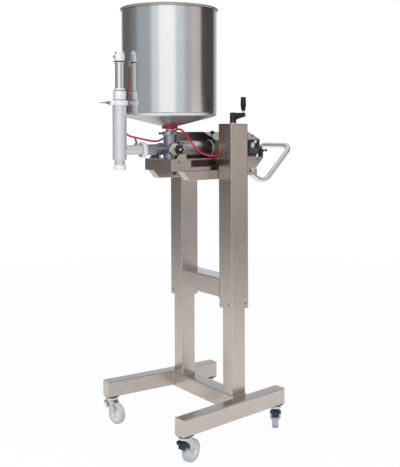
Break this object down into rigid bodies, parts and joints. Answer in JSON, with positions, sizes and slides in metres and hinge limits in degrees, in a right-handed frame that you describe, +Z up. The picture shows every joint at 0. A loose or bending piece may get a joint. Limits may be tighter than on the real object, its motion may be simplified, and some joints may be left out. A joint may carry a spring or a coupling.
{
  "type": "depositor filling machine",
  "caption": "Piston depositor on a wheeled lift frame: round hopper, rotary valve, front nozzle, push handle and crank.",
  "frame": {"origin": "on the floor, under the middle of the outer box", "axes": "+Z up, nozzle towards -X, push handle towards +X, crank side towards -Y"},
  "size_m": [1.0317, 0.7096, 2.01],
  "materials": {
    "frame_steel": "brushed stainless steel",
    "bright_steel": "polished stainless steel",
    "chrome": "bright chrome",
    "cast_metal": "satin",
    "dark_metal": "satin dark grey",
    "bronze": "turned",
    "white_plastic": "matt white",
    "black_plastic": "matt black",
    "red_rubber": "matt red",
    "red_hose": "glossy red",
    "tyre": "light grey tread"
  },
  "bodies": {
    "base": {"near_leg": "frame_steel", "far_leg": "frame_steel", "crossbar": "frame_steel", "near_post": "frame_steel", "far_post": "frame_steel", "post_pads": "white_plastic", "lift_nut": "bronze", "caster_plates": "chrome"},
    "carriage": {"near_sleeve": "frame_steel", "far_sleeve": "frame_steel", "brace": "frame_steel", "top_caps": "frame_steel", "guide_pads": "white_plastic", "carriage_arms": "frame_steel", "bed": "frame_steel", "push_handle": "bright_steel", "nameplate": "black_plastic", "drive_cover": "frame_steel", "bulkhead": "dark_metal", "drive_cylinder": "cast_metal", "control_panel": "black_plastic", "product_cylinder": "bright_steel", "valve_body": "bright_steel", "valve_actuator": "cast_metal", "hopper": "bright_steel", "hopper_gasket": "red_rubber", "hopper_clamp": "chrome", "spout_clamp": "chrome", "nozzle_body": "bright_steel", "nozzle_clamp": "chrome", "nozzle_cylinder": "chrome", "nozzle_cap": "white_plastic", "nozzle_tip": "white_plastic", "air_hose": "red_hose", "air_switch": "black_plastic"},
    "crank": {"lead_screw": "chrome", "crank_arm": "cast_metal"},
    "grip": {"crank_grip": "black_plastic"},
    "housing_knob": {"cover_knob": "black_plastic"},
    "piston": {"piston_rod": "chrome", "product_piston": "white_plastic"},
    "plug": {"valve_plug": "bright_steel"},
    "plug_knob": {"valve_knob": "black_plastic"},
    "hopper_nut": {"hopper_wing": "chrome"},
    "spout_nut": {"spout_wing": "chrome"},
    "nozzle_nut": {"nozzle_wing": "chrome"},
    "plunger": {"cutoff_plunger": "chrome"},
    "switch_arm": {"switch_lever": "black_plastic"},
    "caster_nf": {"caster_fork_nf": "chrome"},
    "wheel_nf": {"caster_wheel_nf": "tyre"},
    "pedal_nf": {"caster_pedal_nf": "black_plastic"},
    "caster_ff": {"caster_fork_ff": "chrome"},
    "wheel_ff": {"caster_wheel_ff": "tyre"},
    "pedal_ff": {"caster_pedal_ff": "black_plastic"},
    "caster_nr": {"caster_fork_nr": "chrome"},
    "wheel_nr": {"caster_wheel_nr": "tyre"},
    "pedal_nr": {"caster_pedal_nr": "black_plastic"},
    "caster_fr": {"caster_fork_fr": "chrome"},
    "wheel_fr": {"caster_wheel_fr": "tyre"},
    "pedal_fr": {"caster_pedal_fr": "black_plastic"}
  },
  "joints": [
    {"name": "lift", "type": "slide", "parent": "base", "child": "carriage", "axis": [0, 0, 1], "range_m": [-0.39, 0.06]},
    {"name": "crank_turn", "type": "hinge", "parent": "carriage", "child": "crank", "pos_m": [0.0662, -0.205, 1.468], "axis": [0, 0, 1], "range_deg": [-14060, 2180]},
    {"name": "grip_turn", "type": "hinge", "parent": "crank", "child": "grip", "pos_m": [0.08412, -0.26016, 1.56], "axis": [0, 0, 1], "continuous": true},
    {"name": "housing_knob_turn", "type": "hinge", "parent": "carriage", "child": "housing_knob", "pos_m": [0.0512, -0.055, 1.41247], "axis": [0, -0.3629, 0.9318], "range_deg": [-720, 720]},
    {"name": "piston_stroke", "type": "slide", "parent": "carriage", "child": "piston", "axis": [1, 0, 0], "range_m": [0, 0.127]},
    {"name": "plug_turn", "type": "hinge", "parent": "carriage", "child": "plug", "pos_m": [-0.1538, 0, 1.349], "axis": [0, -1, 0], "range_deg": [0, 90]},
    {"name": "plug_knob_turn", "type": "hinge", "parent": "plug", "child": "plug_knob", "pos_m": [-0.1538, -0.078, 1.349], "axis": [0, 1, 0], "range_deg": [-720, 720]},
    {"name": "hopper_nut_turn", "type": "hinge", "parent": "carriage", "child": "hopper_nut", "pos_m": [-0.16759, -0.05531, 1.424], "axis": [-0.2419, -0.9703, 0], "range_deg": [-720, 720]},
    {"name": "spout_nut_turn", "type": "hinge", "parent": "carriage", "child": "spout_nut", "pos_m": [-0.3048, 0.05166, 1.37309], "axis": [0, 0.9063, 0.4226], "range_deg": [-720, 720]},
    {"name": "nozzle_nut_turn", "type": "hinge", "parent": "carriage", "child": "nozzle_nut", "pos_m": [-0.4838, 0, 1.563], "axis": [-1, 0, 0], "range_deg": [-720, 720]},
    {"name": "plunger_lift", "type": "slide", "parent": "carriage", "child": "plunger", "axis": [0, 0, 1], "range_m": [0, 0.03]},
    {"name": "switch_tilt", "type": "hinge", "parent": "carriage", "child": "switch_arm", "pos_m": [0.331, -0.105, 1.336], "axis": [0, 1, 0], "range_deg": [-20, 20]},
    {"name": "swivel_nf", "type": "hinge", "parent": "base", "child": "caster_nf", "pos_m": [-0.29161, -0.32106, 0.115], "axis": [0, 0, 1], "continuous": true},
    {"name": "roll_nf", "type": "hinge", "parent": "caster_nf", "child": "wheel_nf", "pos_m": [-0.25336, -0.30936, 0.05], "axis": [-0.2924, 0.9563, 0], "continuous": true},
    {"name": "brake_nf", "type": "hinge", "parent": "caster_nf", "child": "pedal_nf", "pos_m": [-0.30213, -0.32427, 0.1], "axis": [0.2924, -0.9563, 0], "range_deg": [0, 12]},
    {"name": "swivel_ff", "type": "hinge", "parent": "base", "child": "caster_ff", "pos_m": [-0.29161, 0.32106, 0.115], "axis": [0, 0, 1], "continuous": true},
    {"name": "roll_ff", "type": "hinge", "parent": "caster_ff", "child": "wheel_ff", "pos_m": [-0.28466, 0.28166, 0.05], "axis": [0.9848, 0.1736, 0], "continuous": true},
    {"name": "brake_ff", "type": "hinge", "parent": "caster_ff", "child": "pedal_ff", "pos_m": [-0.29352, 0.33189, 0.1], "axis": [-0.9848, -0.1736, 0], "range_deg": [0, 12]},
    {"name": "swivel_nr", "type": "hinge", "parent": "base", "child": "caster_nr", "pos_m": [0.26418, -0.27145, 0.115], "axis": [0, 0, 1], "continuous": true},
    {"name": "roll_nr", "type": "hinge", "parent": "caster_nr", "child": "wheel_nr", "pos_m": [0.28989, -0.24081, 0.05], "axis": [-0.766, 0.6428, 0], "continuous": true},
    {"name": "brake_nr", "type": "hinge", "parent": "caster_nr", "child": "pedal_nr", "pos_m": [0.25711, -0.27988, 0.1], "axis": [0.766, -0.6428, 0], "range_deg": [0, 12]},
    {"name": "swivel_fr", "type": "hinge", "parent": "base", "child": "caster_fr", "pos_m": [0.26418, 0.27145, 0.115], "axis": [0, 0, 1], "continuous": true},
    {"name": "roll_fr", "type": "hinge", "parent": "caster_fr", "child": "wheel_fr", "pos_m": [0.28418, 0.3061, 0.05], "axis": [-0.866, 0.5, 0], "continuous": true},
    {"name": "brake_fr", "type": "hinge", "parent": "caster_fr", "child": "pedal_fr", "pos_m": [0.25868, 0.26193, 0.1], "axis": [0.866, -0.5, 0], "range_deg": [0, 12]}
  ],
  "couplings": [
    {"joint": "crank_turn", "follows": "lift", "rad_per_m": 628.32}
  ]
}
